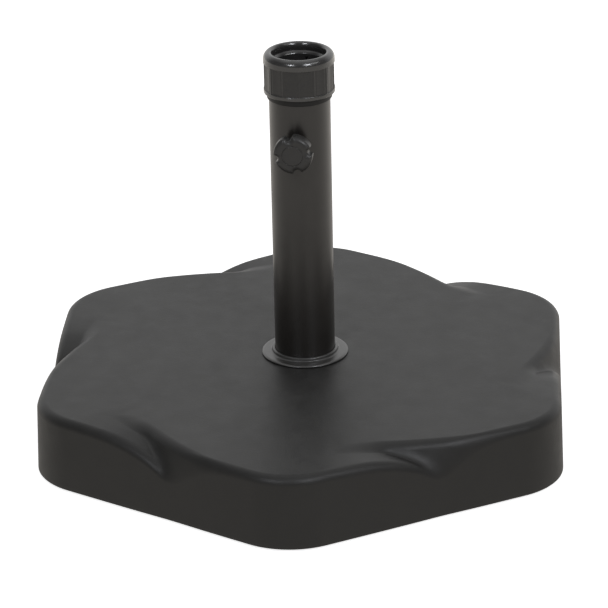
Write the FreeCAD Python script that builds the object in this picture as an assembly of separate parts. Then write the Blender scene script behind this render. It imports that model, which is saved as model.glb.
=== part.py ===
import FreeCAD, Part
import math
import os

# Parasol base: a six-sided plastic shell with an iris-like swirl round its
# edge, filled with concrete, carrying a steel tube with a screw-down collet
# cap and a side clamp knob.  Millimetres, +Z up.  Origin: the tube's axis at
# floor level.  One corner of the hexagon points along -Y.

V = FreeCAD.Vector
ORIGIN = V(0, 0, 0)
Z_AXIS = V(0, 0, 1)

# ---------------------------------------------------------------- dimensions
# base shell
RIM_Z = 2.0              # shell rim above the floor (the feet stand proud)
APOTHEM = 219.1          # centre to flat, at the rim
CORNER_R = 61.6          # plan radius of the six corners
SIDE_DRAFT = 2.2         # inward lean of the side over its height
CENTRE_Z = 64.6          # flat disc round the tube
CROWN_R0 = 44.0          # radius of that disc
CROWN_R1 = 212.0         # radius where the top has fallen by CROWN_DROP
CROWN_DROP = 0.7
CROWN_POWER = 1.6
EDGE_R = 8.0             # rounding between the top and the side
CREST_R = 10.0           # rounding of the swirl's crest
STEP_SLOPE = 66.0        # steepness of the swirl's step, degrees
BLEND = 12.0             # softness at the foot of the step
FADE_DROP = 8.0          # where the step is lower than this it is also gentler,
FADE_MIN = 0.4           # down to this share of its full steepness
SHELL_T = 3.0            # plastic wall
FILL_GAP = 0.3           # shrink gap between plastic and concrete

SECTOR = 60.0            # one petal of the swirl, degrees
HALF_SECTOR = SECTOR / 2.0
FIRST_CORNER = -90.0     # azimuth of the corner on -Y

# Swirl tables.  First column: degrees from the petal's own corner.
# Second column: crest's distance inside the outline
CREST_INSET = [(-60.0, 42.0), (-50.0, 41.9), (-45.0, 40.3), (-40.0, 35.6),
               (-35.0, 28.8), (-30.0, 22.0), (-25.0, 16.0), (-20.0, 10.8),
               (-15.0, 6.6), (-10.0, 3.2), (-5.0, 0.9), (0.0, 0.0)]
# Second column: drop of the lower surface outside the step
TAIL_DROP = [(0.0, 0.0), (8.0, 0.3), (14.0, 1.2), (18.0, 2.5), (21.0, 4.5),
             (24.0, 7.4), (27.0, 11.4), (30.0, 17.0), (33.0, 23.4),
             (36.0, 28.2), (40.0, 31.6), (45.0, 33.8), (60.0, 37.0)]
# Second column: where the closely spaced surface rows start, inside the outline
GRID_INSET = [(-50.0, 30.0), (-45.0, 42.0), (-40.0, 48.0), (-35.0, 42.0),
              (-30.0, 34.0), (-25.0, 27.0), (-20.0, 21.0), (-15.0, 17.0),
              (-10.0, 14.0), (0.0, 13.0), (5.0, 16.0)]

# surface grid: columns per petal, row spans in the top, band, edge and wall
COLUMNS = 30
ROW_SPANS = (6, 16, 7, 4)

# centre well and the recess under it
WELL_RI = 25.6           # well bore, a slip fit on the tube
WELL_RO = WELL_RI + SHELL_T
WELL_FLOOR = 23.0        # top of the well's floor
WELL_BASE = WELL_FLOOR - SHELL_T
RECESS_R = 44.0          # pocket under the well for the anchor parts
FILL_BOTTOM = 6.3

# bottom cover and feet
COVER_Z0, COVER_Z1 = 3.0, 6.0
COVER_HOLE_R = 44.0
COVER_GAP = 1.35         # from the cover's edge to the side wall, nominal
FOOT_PITCH_R = 186.0
FOOT_R = 13.0
FOOT_STEM_R = 5.2
FOOT_BARB_R = 6.4
FOOT_STEM_GAP, FOOT_BARB_GAP = 0.3, 1.6
FOOT_POCKET_TOP = 13.0

# tube
TUBE_R = 25.4            # 50.8 (2 in) outside
TUBE_WALL = 2.0
TUBE_RI = TUBE_R - TUBE_WALL
TUBE_Z0 = WELL_FLOOR + 0.1
TUBE_Z1 = 299.5
TUBE_FIT = 0.1           # gap round the plastic pieces inside the tube

# anchor: end plate, M10 bolt and nut, washers
PLATE_TOP = TUBE_Z0 + 4.0
BOLT_R = 5.0
BOLT_HOLE_R = BOLT_R + 0.5
BOLT_TIP_Z = 36.7
HEX10_AF = 16.0          # across the flats of nut and head
HEX10_ROUND_R = 9.3      # turned rounding of their corners
NUT10_H, HEAD10_H = 8.4, 6.4
STACK_GAP = 0.02
NUT_Z0 = PLATE_TOP + STACK_GAP
NUT_Z1 = NUT_Z0 + NUT10_H
WASHER_Z1 = WELL_BASE - 0.1
WASHER_Z0 = WASHER_Z1 - 4.0
SPRING_Z1 = WASHER_Z0 - STACK_GAP
SPRING_Z0 = SPRING_Z1 - 2.2
HEAD_Z1 = SPRING_Z0 - STACK_GAP
HEAD_Z0 = HEAD_Z1 - HEAD10_H
BORE_TOP = 60.0          # overlong bore cutters run from the floor to here

# pole seat: a 38 mm (1 1/2 in) pole
POLE_BORE_R = 19.25

# threaded collar, collet and cap
COLLAR_Z0, SKIRT_Z0, SKIRT_Z1, COLLAR_Z1 = 273.3, 294.3, 300.7, 319.3
COLLAR_SKIRT_R = 26.9
THREAD_R = 26.0
COLLET_SLOTS = 6
COLLET_CLOCK = 15.0      # azimuth of the first slot
SLOT_W, SLOT_H, SLOT_Z0 = 2.0, 22.0, 300.3
CAP_BORE_R = 26.07
CAP_R = 29.5
CAP_FACETS = 14
CAP_FACET_BOT, CAP_FACET_TOP = 302.7, 324.5
CAP_CLOCK = -87.3        # azimuth of one facet corner, degrees
CAP_Z0 = 298.8
LIP_R = 22.2

# clamp knob; its stations are distances out from the tube's axis
KNOB_AZIMUTH = -95.4
KNOB_Z = 257.3
TUBE_HOLE_R = 6.1        # hole in the tube for the nut's spigot
SADDLE_R, SPIGOT_R = 8.5, 6.0
STUD_R = 4.0             # M8
STUD_BORE_R = STUD_R + 0.05
STUD_HEX_AF = 13.0
STUD_TIP_R = 2.5
KNOB_R = 16.2
KNOB_NEAR, KNOB_FAR = 31.9, 42.7
KNOB_FAR_FILLET, KNOB_NEAR_FILLET = 3.4, 1.6
NOTCHES = 4
NOTCH_R, NOTCH_PITCH, NOTCH_CLOCK = 3.0, 15.9, 13.5
KNOB_CAP_R = 8.55
KNOB_CAP_NEAR, KNOB_CAP_FAR = 41.12, 42.9
KNOB_CAP_FILLET = 0.5
PAD_R = 5.0

# trim ring
RING_R = 36.6
RING_BORE_R = 25.46


# ---------------------------------------------------------------- curves
def pchip(table):
    """Monotone cubic through a table of (x, y)."""
    n = len(table)
    xs = [p[0] for p in table]
    ys = [p[1] for p in table]
    step = [xs[i + 1] - xs[i] for i in range(n - 1)]
    chord = [(ys[i + 1] - ys[i]) / step[i] for i in range(n - 1)]
    slope = [0.0] * n
    slope[0], slope[-1] = chord[0], chord[-1]
    for i in range(1, n - 1):
        if chord[i - 1] * chord[i] > 0.0:
            w1 = 2 * step[i] + step[i - 1]
            w2 = step[i] + 2 * step[i - 1]
            slope[i] = (w1 + w2) / (w1 / chord[i - 1] + w2 / chord[i])

    def curve(x):
        if x <= xs[0]:
            return ys[0]
        if x >= xs[-1]:
            return ys[-1]
        i = 0
        while x > xs[i + 1]:
            i += 1
        t = (x - xs[i]) / step[i]
        return (ys[i] * (1 + 2 * t) * (1 - t) ** 2
                + step[i] * slope[i] * t * (1 - t) ** 2
                + ys[i + 1] * t * t * (3 - 2 * t)
                + step[i] * slope[i + 1] * t * t * (t - 1))
    return curve


def periodic(table):
    """Smooth curve through a table of (x, y) that repeats every petal."""
    return pchip([(x + shift, y) for shift in (-SECTOR, 0.0, SECTOR) for x, y in table])


crest_inset = pchip(CREST_INSET)
tail_drop = pchip(TAIL_DROP)
grid_inset = periodic(GRID_INSET)


def corner_circle(inset):
    """Radius of the hexagon's corners, and of the circle their centres are on."""
    radius = CORNER_R - inset
    return radius, (APOTHEM - inset - radius) / math.cos(math.radians(HALF_SECTOR))


def outline(azimuth, inset):
    """Polar radius of the rounded hexagon at an azimuth in degrees."""
    radius, centre = corner_circle(inset)
    half = math.radians(HALF_SECTOR)
    from_corner = (azimuth - FIRST_CORNER + HALF_SECTOR) % SECTOR - HALF_SECTOR
    angle = math.radians(abs(from_corner))
    tangent = math.atan2(radius * math.sin(half), centre + radius * math.cos(half))
    if angle <= tangent:
        return (centre * math.cos(angle)
                + math.sqrt(radius ** 2 - (centre * math.sin(angle)) ** 2))
    return (APOTHEM - inset) / math.cos(half - angle)


def crown(r):
    """Height of the gently domed top without the swirl."""
    if r <= CROWN_R0:
        return CENTRE_Z
    return CENTRE_Z - CROWN_DROP * ((r - CROWN_R0) / (CROWN_R1 - CROWN_R0)) ** CROWN_POWER


def crest_fall(beyond):
    """Fall of a petal's shoulder at a distance outside its crest."""
    if beyond <= 0.0:
        return 0.0
    slope = math.radians(STEP_SLOPE)
    reach = CREST_R * math.sin(slope)
    if beyond < reach:
        return CREST_R - math.sqrt(CREST_R ** 2 - beyond ** 2)
    return CREST_R * (1 - math.cos(slope)) + (beyond - reach) * math.tan(slope)


def top_height(r, azimuth, r_out):
    """Height of the swirl's top face, before the edge is rounded."""
    angle = (azimuth - FIRST_CORNER) % SECTOR - SECTOR     # from the petal's corner
    base = crown(r)
    drop = tail_drop(angle + SECTOR)
    if drop <= 1e-6:
        return base
    fade = min(1.0, drop / FADE_DROP)
    fade = FADE_MIN + (1.0 - FADE_MIN) * fade * fade * (3.0 - 2.0 * fade)
    upper = base - crest_fall(fade * (r - (r_out - crest_inset(angle))))
    lower = base - drop
    blend = min(BLEND, drop)
    return (max(upper, lower)
            + max(blend - abs(upper - lower), 0.0) ** 2 / (4 * blend))


# ---------------------------------------------------------------- swirl skin
def profile(azimuth):
    """Fine (r, z) polyline from the centre disc to the rim, in four runs."""
    r_top = outline(azimuth, SIDE_DRAFT)
    r_rim = outline(azimuth, 0.0)
    grid_start = GRID_INSET[0][0]
    r_band = r_top - grid_inset((azimuth - FIRST_CORNER - grid_start) % SECTOR + grid_start)
    r_edge = r_top - EDGE_R

    def height(r):
        return top_height(r, azimuth, r_top)

    def radial_run(r0, r1, n):
        radii = [r0 + (r1 - r0) * i / float(n) for i in range(n + 1)]
        return [(r, height(r)) for r in radii]

    edge = []
    for i in range(25):
        angle = math.radians(90.0 * i / 24.0)
        r = r_edge + EDGE_R * math.sin(angle)
        edge.append((r, height(r) - EDGE_R * (1 - math.cos(angle))))

    z_wall = edge[-1][1]
    lean = (r_rim - r_top) * (z_wall - RIM_Z) / (CENTRE_Z - RIM_Z)
    wall = [(r_top + lean * i / 12.0, z_wall + (RIM_Z - z_wall) * i / 12.0)
            for i in range(13)]
    return [radial_run(CROWN_R0, r_band, 40), radial_run(r_band, r_edge, 120), edge, wall]


def resample(run, n):
    """n + 1 points evenly spaced along a polyline."""
    along = [0.0]
    for a, b in zip(run, run[1:]):
        along.append(along[-1] + math.hypot(b[0] - a[0], b[1] - a[1]))
    points, j = [], 0
    for i in range(n + 1):
        target = along[-1] * i / n
        while j < len(along) - 2 and along[j + 1] < target:
            j += 1
        length = along[j + 1] - along[j]
        w = 0.0 if length == 0.0 else (target - along[j]) / length
        points.append((run[j][0] + w * (run[j + 1][0] - run[j][0]),
                       run[j][1] + w * (run[j + 1][1] - run[j][1])))
    return points


def offset_runs(runs, depth):
    """Move the fine profile inwards along its own normals."""
    flat = runs[0] + [p for run in runs[1:] for p in run[1:]]
    last = len(flat) - 1
    moved = []
    for i, (r, z) in enumerate(flat):
        before, after = flat[max(i - 1, 0)], flat[min(i + 1, last)]
        d0 = (r - before[0], z - before[1])
        d1 = (after[0] - r, after[1] - z)
        l0, l1 = math.hypot(*d0) or 1.0, math.hypot(*d1) or 1.0
        dr, dz = d0[0] / l0 + d1[0] / l1, d0[1] / l0 + d1[1] / l1
        length = math.hypot(dr, dz)
        moved.append((r + depth * dz / length, z - depth * dr / length))
    out, start = [], 0
    for run in runs:
        out.append(moved[start:start + len(run)])
        start += len(run) - 1
    return out


def column(azimuth, depth, z_end):
    """Surface poles (r, z) at one azimuth, from the centre disc down to z_end."""
    runs = profile(azimuth)
    if depth > 0.0:
        runs = offset_runs(runs, depth)
    points = []
    for run, spans in zip(runs, ROW_SPANS):
        points = points[:-1] + resample(run, spans)
    points[0] = (CROWN_R0, CENTRE_Z - depth)
    # the last point sits exactly on the closing plane
    (r0, z0), (r1, z1) = points[-2:]
    points[-1] = (r0 + (r1 - r0) * (z_end - z0) / (z1 - z0), z_end)
    return points


def skin(depth, z_end):
    """One smooth closed-round surface, depth inside the swirl skin."""
    n = 6 * COLUMNS
    azimuths = [FIRST_CORNER + 360.0 * i / n for i in range(n)]
    columns = [column(azimuth, depth, z_end) for azimuth in azimuths[:COLUMNS]]
    rows = len(columns[0])
    poles = []
    for j in range(rows):
        row = []
        for i in range(n):
            angle = math.radians(azimuths[i])
            r, z = columns[i % COLUMNS][j]
            row.append(V(r * math.cos(angle), r * math.sin(angle), z))
        poles.append(row)
    surface = Part.BSplineSurface()
    # cubic both ways: clamped from centre to rim, periodic round the axis
    surface.buildFromPolesMultsKnots(
        poles, [4] + [1] * (rows - 4) + [4], [1] * (n + 1),
        list(range(rows - 2)), list(range(n + 1)), False, True, 3, 3)
    return surface


def rim(surface, top):
    """The surface's closed edge at the centre disc (top) or at its lower end."""
    u0, u1, v0, v1 = surface.bounds()
    return Part.Wire([surface.uIso(u0 if top else u1).toShape()])


def solid_of(faces):
    shell = Part.makeShell(faces)
    shell.sewShape(0.001)
    if shell.ShapeType != "Shell":
        shell = shell.Shells[0]
    solid = Part.makeSolid(shell)
    if solid.Volume < 0:
        solid.reverse()
    return solid


def swirl_solid(depth, z_end):
    """Closed solid under the swirl skin, depth inside it, down to z_end."""
    surface = skin(depth, z_end)
    return solid_of([surface.toShape(), Part.Face(rim(surface, True)),
                     Part.Face(rim(surface, False))])


def swirl_cup(wall, z_end):
    """The swirl skin given a wall thickness, open underneath."""
    outer, inner = skin(0.0, z_end), skin(wall, z_end)
    lip = Part.makeFace([rim(outer, False), rim(inner, False)], "Part::FaceMakerBullseye")
    return solid_of([outer.toShape(), inner.toShape(), lip,
                     Part.Face(rim(outer, True)), Part.Face(rim(inner, True))])


# ---------------------------------------------------------------- plain solids
def revolve(profile_rz, curve=None):
    """Solid of revolution about Z from (r, z) points; curve gives the first and
    last index of points joined by one smooth spline."""
    pts = [V(r, 0, z) for r, z in profile_rz]
    edges = []
    i, n = 0, len(pts)
    while i < n:
        if curve and i == curve[0]:
            spline = Part.BSplineCurve()
            spline.interpolate(pts[curve[0]:curve[1] + 1])
            edges.append(spline.toShape())
            i = curve[1]
            continue
        edges.append(Part.makeLine(pts[i], pts[(i + 1) % n]))
        i += 1
    return Part.Face(Part.Wire(edges)).revolve(ORIGIN, Z_AXIS, 360)


def cyl(radius, z0, z1, x=0.0, y=0.0):
    return Part.makeCylinder(radius, z1 - z0, V(x, y, z0))


def hex_corners(across_flats):
    """Closed loop of plane corner points, the first on the first axis."""
    radius = across_flats / 2.0 / math.cos(math.radians(30.0))
    angles = [math.radians(60.0 * i) for i in range(7)]
    return [(radius * math.cos(a), radius * math.sin(a)) for a in angles]


def hexagon(across_flats, z0, z1):
    pts = [V(x, y, z0) for x, y in hex_corners(across_flats)]
    return Part.Face(Part.makePolygon(pts)).extrude(V(0, 0, z1 - z0))


def rounded_hexagon(inset, z0, z1):
    """Slab with the base's plan outline, drawn in by inset."""
    radius, centre_r = corner_circle(inset)
    edges, first, last = [], None, None
    for k in range(6):
        azimuth = FIRST_CORNER + SECTOR * k
        angle = math.radians(azimuth)
        x, y = centre_r * math.cos(angle), centre_r * math.sin(angle)
        arc = [V(x + radius * math.cos(math.radians(azimuth + turn)),
                 y + radius * math.sin(math.radians(azimuth + turn)), z0)
               for turn in (-HALF_SECTOR, 0.0, HALF_SECTOR)]
        if last is not None:
            edges.append(Part.makeLine(last, arc[0]))
        else:
            first = arc[0]
        edges.append(Part.Arc(*arc).toShape())
        last = arc[2]
    edges.append(Part.makeLine(last, first))
    return Part.Face(Part.Wire(edges)).extrude(V(0, 0, z1 - z0))


def turned(shape, degrees):
    """Turn a shape about the tube's axis."""
    shape.rotate(ORIGIN, Z_AXIS, degrees)
    return shape


# ---------------------------------------------------------------- the base
FEET_XY = [(FOOT_PITCH_R * math.cos(math.radians(FIRST_CORNER + SECTOR * k)),
            FOOT_PITCH_R * math.sin(math.radians(FIRST_CORNER + SECTOR * k)))
           for k in range(6)]


def base_shell():
    shell = swirl_cup(SHELL_T, RIM_Z).fuse(cyl(WELL_RO, WELL_BASE, CENTRE_Z - 1.0))
    shell = shell.cut(cyl(WELL_RI, WELL_FLOOR, CENTRE_Z + 5.0))
    shell = shell.cut(cyl(BOLT_HOLE_R, WELL_FLOOR - 10.0, WELL_FLOOR + 5.0))
    return shell.removeSplitter()


def concrete_ballast():
    fill = swirl_solid(SHELL_T + FILL_GAP, FILL_BOTTOM)
    fill = fill.cut(cyl(WELL_RO + FILL_GAP, 0.0, CENTRE_Z))
    fill = fill.cut(cyl(RECESS_R, 0.0, WELL_BASE))
    for x, y in FEET_XY:
        fill = fill.cut(cyl(FOOT_BARB_R + FOOT_BARB_GAP, 0.0, FOOT_POCKET_TOP, x, y))
    return fill


def bottom_cover():
    cover = rounded_hexagon(SHELL_T + COVER_GAP, COVER_Z0, COVER_Z1)
    cover = cover.cut(cyl(COVER_HOLE_R, 0.0, 10.0))
    for x, y in FEET_XY:
        cover = cover.cut(cyl(FOOT_STEM_R + FOOT_STEM_GAP, 0.0, 10.0, x, y))
    return cover


def rubber_foot(x, y):
    """Round pad with a barbed stem pushed up through the cover."""
    foot = revolve([
        (0.0, 0.0), (11.4, 0.0), (FOOT_R, 1.2), (FOOT_R, 2.9), (FOOT_STEM_R, 2.9),
        (FOOT_STEM_R, 6.4), (FOOT_BARB_R, 6.4), (FOOT_BARB_R - 0.4, 7.6),
        (3.4, 11.6), (0.0, 11.6)])
    foot.translate(V(x, y, 0))
    return foot


def trim_ring():
    # radius, height above the centre disc
    section = [
        (RING_BORE_R, 0.06), (RING_R - 0.5, 0.06), (RING_R, 0.6), (RING_R, 1.3),
        (RING_R - 0.7, 2.0), (29.0, 2.5), (28.2, 2.9), (27.9, 5.0), (27.4, 5.4),
        (RING_BORE_R, 5.4)]
    return revolve([(r, CENTRE_Z + height) for r, height in section])


# ---------------------------------------------------------------- the anchor
def bored(shape, radius):
    """Cut a bore right through along the tube's axis."""
    return shape.cut(cyl(radius, 0.0, BORE_TOP))


def anchor_nut():
    rounding = revolve([
        (0.0, NUT_Z0), (8.0, NUT_Z0), (HEX10_ROUND_R, NUT_Z0 + 1.0),
        (HEX10_ROUND_R, NUT_Z1 - 1.0), (8.0, NUT_Z1), (0.0, NUT_Z1)])
    return bored(hexagon(HEX10_AF, NUT_Z0, NUT_Z1).common(rounding), BOLT_R + 0.05)


def anchor_spring_washer():
    """Split washer; its slit is tilted about X."""
    washer = bored(cyl(9.0, SPRING_Z0, SPRING_Z1), BOLT_R + 0.2)
    slit = Part.makeBox(12.0, 1.2, 6.0, V(0.0, -0.6, SPRING_Z0 - 1.0))
    slit.rotate(V(0, 0, SPRING_Z0), V(1, 0, 0), 20.0)
    return washer.cut(slit)


def anchor_bolt():
    """Bolt pointing up, its head under the washers."""
    rounding = revolve([
        (0.0, HEAD_Z0), (7.9, HEAD_Z0), (HEX10_ROUND_R, HEAD_Z0 + 1.0),
        (HEX10_ROUND_R, HEAD_Z1), (0.0, HEAD_Z1)])
    head = hexagon(HEX10_AF, HEAD_Z0, HEAD_Z1).common(rounding)
    shank = revolve([
        (0.0, HEAD_Z1 - 1.0), (BOLT_R, HEAD_Z1 - 1.0), (BOLT_R, BOLT_TIP_Z - 0.9),
        (BOLT_R - 0.9, BOLT_TIP_Z), (0.0, BOLT_TIP_Z)])
    return head.fuse(shank).removeSplitter()


# ---------------------------------------------------------------- knob helpers
# Knob pieces are built along -Y at floor level, then lifted and turned.
def out_cyl(radius, near, far, x=0.0, z=0.0):
    """Cylinder along Y between two distances out from the tube's axis."""
    return Part.makeCylinder(radius, far - near, V(x, -far, z), V(0, 1, 0))


def out_hexagon(across_flats, near, far):
    pts = [V(x, -far, z) for x, z in hex_corners(across_flats)]
    return Part.Face(Part.makePolygon(pts)).extrude(V(0, far - near, 0))


def circles_at(shape, out):
    """Closed edges lying wholly in the plane at a distance out."""
    return [e for e in shape.Edges
            if e.Closed and abs(e.BoundBox.YMin + out) < 0.01
            and abs(e.BoundBox.YMax + out) < 0.01]


def at_knob(shape):
    shape.translate(V(0, 0, KNOB_Z))
    return turned(shape, KNOB_AZIMUTH - FIRST_CORNER)


# ---------------------------------------------------------------- the tube
def pole_tube():
    tube = cyl(TUBE_R, TUBE_Z0, TUBE_Z1).cut(cyl(TUBE_RI, TUBE_Z0 - 1.0, TUBE_Z1 + 1.0))
    return tube.cut(at_knob(out_cyl(TUBE_HOLE_R, 0.0, 40.0)))


def lower_pole_guide():
    base_z, guide_r = PLATE_TOP + 0.1, TUBE_RI - TUBE_FIT
    return revolve([
        (16.0, base_z), (guide_r, base_z), (guide_r, 79.0), (21.6, 80.0),
        (POLE_BORE_R, 76.0), (POLE_BORE_R, 41.0), (6.0, 41.0), (6.0, 38.0), (16.0, 38.0)])


def threaded_collar():
    """Sleeve inside the tube, a skirt over its end and the thread above."""
    sleeve_r, skirt_bore_r, seat_z = TUBE_RI - TUBE_FIT, TUBE_R + 0.12, TUBE_Z1 + 0.1
    return revolve([
        (sleeve_r, COLLAR_Z0), (sleeve_r, seat_z), (skirt_bore_r, seat_z),
        (skirt_bore_r, SKIRT_Z0), (COLLAR_SKIRT_R - 0.3, SKIRT_Z0),
        (COLLAR_SKIRT_R, SKIRT_Z0 + 0.5), (COLLAR_SKIRT_R, SKIRT_Z1),
        (THREAD_R, SKIRT_Z1), (THREAD_R, COLLAR_Z1 - 0.8), (THREAD_R - 0.8, COLLAR_Z1),
        (24.6, COLLAR_Z1), (24.0, COLLAR_Z1 - 2.0), (20.6, COLLAR_Z1 - 18.0),
        (20.6, COLLAR_Z0 + 1.0), (21.4, COLLAR_Z0)])


def collet():
    body = revolve([
        (POLE_BORE_R + 0.35, 302.3), (20.66, 302.3), (23.85, 317.3), (24.4, 319.7),
        (24.4, 323.2), (25.2, 323.5), (25.2, 325.3), (24.4, 325.5), (24.3, 327.1),
        (22.6, 327.1), (21.3, 326.75), (20.3, 326.0), (19.65, 325.2),
        (POLE_BORE_R, 324.5), (POLE_BORE_R, 302.65)])
    for k in range(COLLET_SLOTS):
        slot = Part.makeBox(30.0, SLOT_W, SLOT_H, V(10.0, -SLOT_W / 2.0, SLOT_Z0))
        body = body.cut(turned(slot, 360.0 / COLLET_SLOTS * k + COLLET_CLOCK))
    return body


def cap_nut():
    cap = revolve([
        (27.1, CAP_Z0), (28.5, CAP_Z0), (29.2, CAP_Z0 + 0.5), (CAP_R, CAP_Z0 + 1.4),
        (CAP_R, 327.1), (29.25, 329.5), (28.1, 331.8), (26.3, 333.2), (24.4, 333.5),
        (22.9, 332.9), (LIP_R, 331.7), (LIP_R, 327.2), (25.45, 327.2), (25.45, 322.6),
        (24.8, 322.3), (24.8, 320.9), (CAP_BORE_R, 319.7), (CAP_BORE_R, 301.6),
        (27.1, 301.0)], curve=(4, 10))
    step = 360.0 / CAP_FACETS
    facet_apothem = CAP_R * math.cos(math.radians(step / 2.0))
    for k in range(CAP_FACETS):
        cutter = Part.makeBox(10.0, 40.0, CAP_FACET_TOP - CAP_FACET_BOT,
                              V(facet_apothem, -20.0, CAP_FACET_BOT))
        cap = cap.cut(turned(cutter, CAP_CLOCK + step * (k + 0.5)))
    return cap


# ---------------------------------------------------------------- clamp knob
def knob_nut():
    """Nut for the clamp screw: a saddle outside the tube, a spigot in its hole."""
    saddle = out_cyl(SADDLE_R, 20.0, 28.0).cut(cyl(TUBE_R + 0.02, -20.0, 20.0))
    nut = saddle.fuse(out_cyl(SPIGOT_R, 22.9, 27.0))
    return at_knob(nut.cut(out_cyl(STUD_BORE_R, 0.0, 40.0)).removeSplitter())


def clamp_knob():
    body = out_cyl(KNOB_R, KNOB_NEAR, KNOB_FAR)
    body = body.makeFillet(KNOB_FAR_FILLET, circles_at(body, KNOB_FAR))
    body = body.makeFillet(KNOB_NEAR_FILLET, circles_at(body, KNOB_NEAR))
    for k in range(NOTCHES):
        angle = math.radians(NOTCH_CLOCK + 360.0 / NOTCHES * k)
        body = body.cut(out_cyl(NOTCH_R, 20.0, 60.0,
                                NOTCH_PITCH * math.cos(angle), NOTCH_PITCH * math.sin(angle)))
    # cap recess, pocket for the stud's head, stud bore
    body = body.cut(out_cyl(KNOB_CAP_R + 0.05, KNOB_CAP_NEAR - 0.02, 60.0))
    body = body.cut(out_hexagon(STUD_HEX_AF + 0.1, 36.0, 45.0))
    return at_knob(body.cut(out_cyl(STUD_BORE_R, 20.0, 45.0)))


def knob_stud():
    stud = out_hexagon(STUD_HEX_AF, 36.05, 40.9)
    stud = stud.fuse(out_cyl(STUD_R, 21.6, 37.0))
    return at_knob(stud.fuse(out_cyl(STUD_TIP_R, 20.3, 22.0)).removeSplitter())


def knob_cap():
    disc = out_cyl(KNOB_CAP_R, KNOB_CAP_NEAR, KNOB_CAP_FAR)
    return at_knob(disc.makeFillet(KNOB_CAP_FILLET, circles_at(disc, KNOB_CAP_FAR)))


def clamp_pad():
    """Disc on the stud's inner tip."""
    pad = out_cyl(PAD_R, 19.5, 21.5)
    return at_knob(pad.cut(out_cyl(STUD_TIP_R + 0.06, 20.2, 22.0)))


# ---------------------------------------------------------------- write
parts = {
    "base_shell": base_shell(),
    "concrete_ballast": concrete_ballast(),
    "bottom_cover": bottom_cover(),
    "pole_tube": pole_tube(),
    "tube_end_plate": bored(cyl(TUBE_RI - 0.02, TUBE_Z0, PLATE_TOP), BOLT_HOLE_R),
    "anchor_nut": anchor_nut(),
    "anchor_plate_washer": bored(cyl(40.0, WASHER_Z0, WASHER_Z1), BOLT_HOLE_R),
    "anchor_spring_washer": anchor_spring_washer(),
    "anchor_bolt": anchor_bolt(),
    "lower_pole_guide": lower_pole_guide(),
    "knob_nut": knob_nut(),
    "threaded_collar": threaded_collar(),
    "trim_ring": trim_ring(),
    "collet": collet(),
    "cap_nut": cap_nut(),
    "clamp_knob": clamp_knob(),
    "knob_stud": knob_stud(),
    "knob_cap": knob_cap(),
    "clamp_pad": clamp_pad(),
}
for i, (x, y) in enumerate(FEET_XY):
    parts["rubber_foot_%d" % (i + 1)] = rubber_foot(x, y)

os.makedirs("parts", exist_ok=True)
for name, shape in parts.items():
    # a compound holding one solid is written as that solid
    if shape.ShapeType != "Solid" and len(shape.Solids) == 1:
        shape = shape.Solids[0]
    shape.exportStep(os.path.join("parts", name + ".step"))
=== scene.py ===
import math

import bmesh
import bpy
import numpy as np
from mathutils import Matrix, Vector


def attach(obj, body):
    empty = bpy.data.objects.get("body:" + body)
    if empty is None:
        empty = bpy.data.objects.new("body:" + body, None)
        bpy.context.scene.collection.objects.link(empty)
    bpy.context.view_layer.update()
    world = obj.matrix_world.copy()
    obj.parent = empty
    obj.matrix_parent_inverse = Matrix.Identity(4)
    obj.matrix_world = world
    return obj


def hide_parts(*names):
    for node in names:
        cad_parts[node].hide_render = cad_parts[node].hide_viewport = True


# Parasol base: a low six-sided shell with a swirl of six crests, and in its
# middle a pole socket with trim ring, threaded collar, faceted cap and clamp knob.
# The pole stands on +Z over the origin, the floor is z = 0, and the camera and the
# knob are on the -Y side.  The scene is in metres; shape numbers are millimetres
# and degrees, and are scaled when a mesh is made.

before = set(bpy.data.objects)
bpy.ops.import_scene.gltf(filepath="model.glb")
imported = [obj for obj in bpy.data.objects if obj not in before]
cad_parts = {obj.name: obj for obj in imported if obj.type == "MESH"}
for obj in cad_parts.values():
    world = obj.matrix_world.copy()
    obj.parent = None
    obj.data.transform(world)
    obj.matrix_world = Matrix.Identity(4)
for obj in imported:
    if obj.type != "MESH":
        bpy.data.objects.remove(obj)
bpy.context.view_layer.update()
scene = bpy.context.scene


# ------------------------------------------------------------ mesh helpers
def shade_smooth(mesh):
    mesh.polygons.foreach_set("use_smooth", np.ones(len(mesh.polygons), bool))


def make_skin(name, rows, body, replaced):
    """A closed skin from rows of points, (rows, points, 3) in millimetres.
    Each row is a closed ring, and the last row joins the first."""
    rows = np.asarray(rows, float) / 1000.0
    m, n, _ = rows.shape
    i, j = np.meshgrid(np.arange(m), np.arange(n), indexing="ij")
    i_next, j_next = (i + 1) % m, (j + 1) % n
    quads = np.stack([i * n + j, i * n + j_next, i_next * n + j_next, i_next * n + j],
                     -1).reshape(-1, 4)
    mesh = bpy.data.meshes.new(name)
    mesh.vertices.add(m * n)
    mesh.vertices.foreach_set("co", rows.reshape(-1))
    mesh.loops.add(len(quads) * 4)
    mesh.loops.foreach_set("vertex_index", quads.reshape(-1))
    mesh.polygons.add(len(quads))
    mesh.polygons.foreach_set("loop_start", np.arange(len(quads)) * 4)
    mesh.polygons.foreach_set("loop_total", np.full(len(quads), 4))
    mesh.update(calc_edges=True)
    mesh.validate()
    bm = bmesh.new()
    bm.from_mesh(mesh)
    bmesh.ops.recalc_face_normals(bm, faces=bm.faces)
    bm.to_mesh(mesh)
    bm.free()
    shade_smooth(mesh)
    ob = bpy.data.objects.new(name, mesh)
    scene.collection.objects.link(ob)
    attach(ob, body)
    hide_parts(replaced)
    return ob


def full_turn(count):
    return np.linspace(0, 2 * np.pi, count, endpoint=False)


def ring_row(radius, z, angles):
    """One ring about the pole axis; radius is a number or one value per angle."""
    radius = np.broadcast_to(radius, angles.shape)
    return np.stack([radius * np.cos(angles), radius * np.sin(angles),
                     np.full(angles.shape, z)], -1)


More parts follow.
